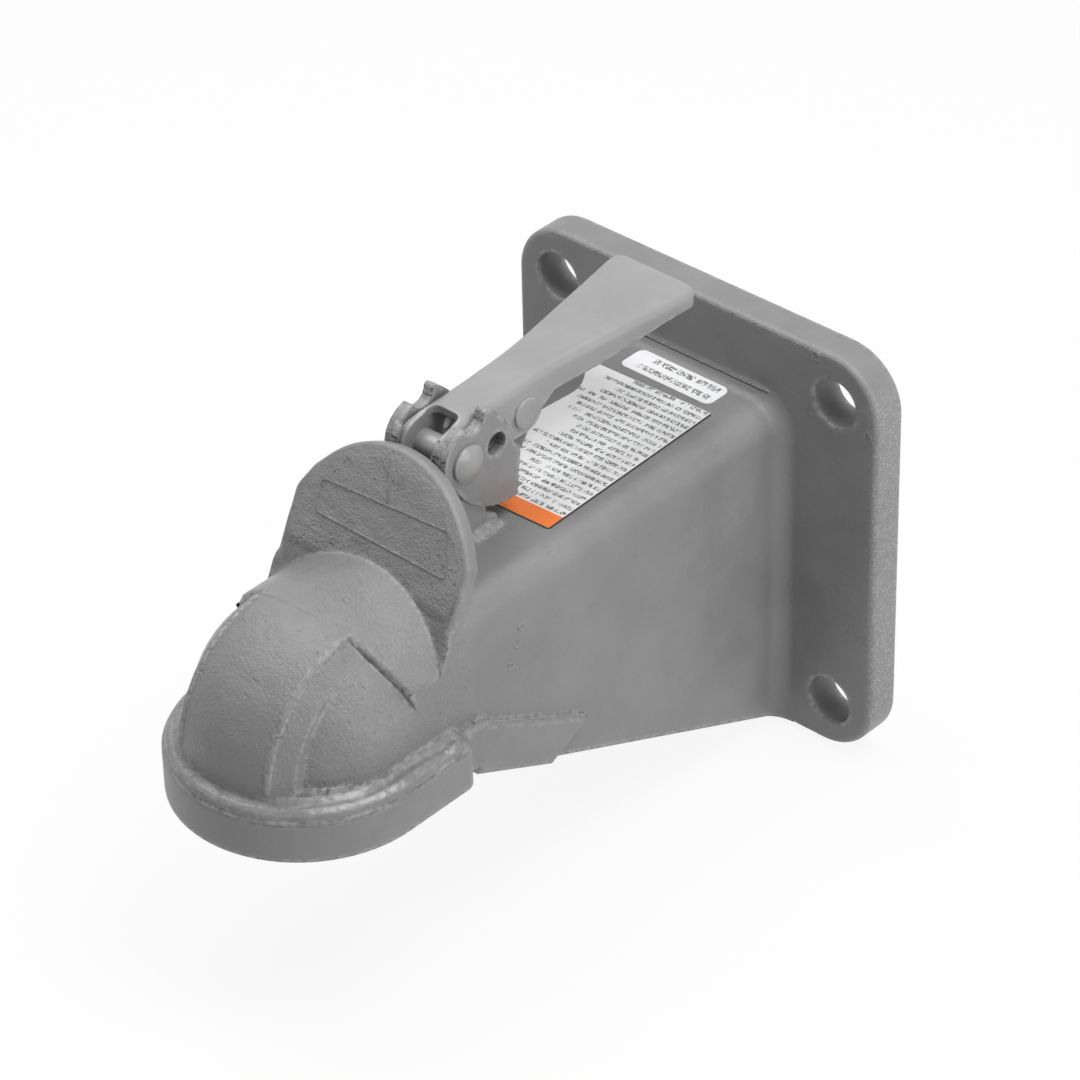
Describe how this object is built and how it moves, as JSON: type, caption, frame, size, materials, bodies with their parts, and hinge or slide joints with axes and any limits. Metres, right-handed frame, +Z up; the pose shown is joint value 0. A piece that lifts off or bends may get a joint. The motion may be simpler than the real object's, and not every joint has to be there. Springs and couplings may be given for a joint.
{
  "type": "trailer coupling head",
  "caption": "Flange-mounted trailer coupling head: grey casting with a ball socket and leaning shield, channel latch lever between two ears, and a hinged ball clamp underneath.",
  "frame": {"origin": "centre of the square bolt pattern on the rear face of the flange", "axes": "+X forward from the mounting face to the ball socket, +Y to the head's own left, on the right of a viewer who looks back at it along -X from in front, +Z up"},
  "size_m": [0.2411, 0.1524, 0.1709],
  "materials": {
    "cast_paint": "satin",
    "lever_paint": "satin",
    "pin_steel": "satin",
    "spring_steel": "satin",
    "label_film": "matte"
  },
  "bodies": {
    "frame_body": {"coupler_casting": "cast_paint", "lever_pin": "lever_paint", "clamp_pin": "pin_steel", "clamp_pin_clip": "spring_steel", "clamp_spring": "spring_steel", "large_sticker": "label_film", "small_sticker": "label_film"},
    "lever_body": {"latch_lever": "lever_paint", "catch_pin": "lever_paint", "catch_spring": "spring_steel"},
    "catch_body": {"catch": "lever_paint"},
    "link_body": {"pull_link": "pin_steel"},
    "clamp_body": {"ball_clamp": "cast_paint", "link_pin": "pin_steel"}
  },
  "joints": [
    {"name": "lever_lift", "type": "hinge", "parent": "frame_body", "child": "lever_body", "pos_m": [0.134, 0, 0.079], "axis": [0, 1, 0], "range_deg": [0, 52]},
    {"name": "catch_squeeze", "type": "hinge", "parent": "lever_body", "child": "catch_body", "pos_m": [0.1029, 0, 0.08], "axis": [0, 1, 0], "range_deg": [0, 10], "stiffness_Nm_per_rad": 0.6, "springref_deg": -20.05, "deforming": ["catch_spring"]},
    {"name": "link_swing", "type": "hinge", "parent": "lever_body", "child": "link_body", "pos_m": [0.1029, 0, 0.08], "axis": [0, 1, 0], "range_deg": [-40, 1]},
    {"name": "clamp_swing", "type": "hinge", "parent": "frame_body", "child": "clamp_body", "pos_m": [0.15, 0, 0.028], "axis": [0, 1, 0], "range_deg": [0, 36]}
  ],
  "couplings": [
    {"joint": "link_swing", "follows": "lever_lift", "ratio": -0.744},
    {"joint": "clamp_swing", "follows": "lever_lift", "ratio": 0.656}
  ]
}
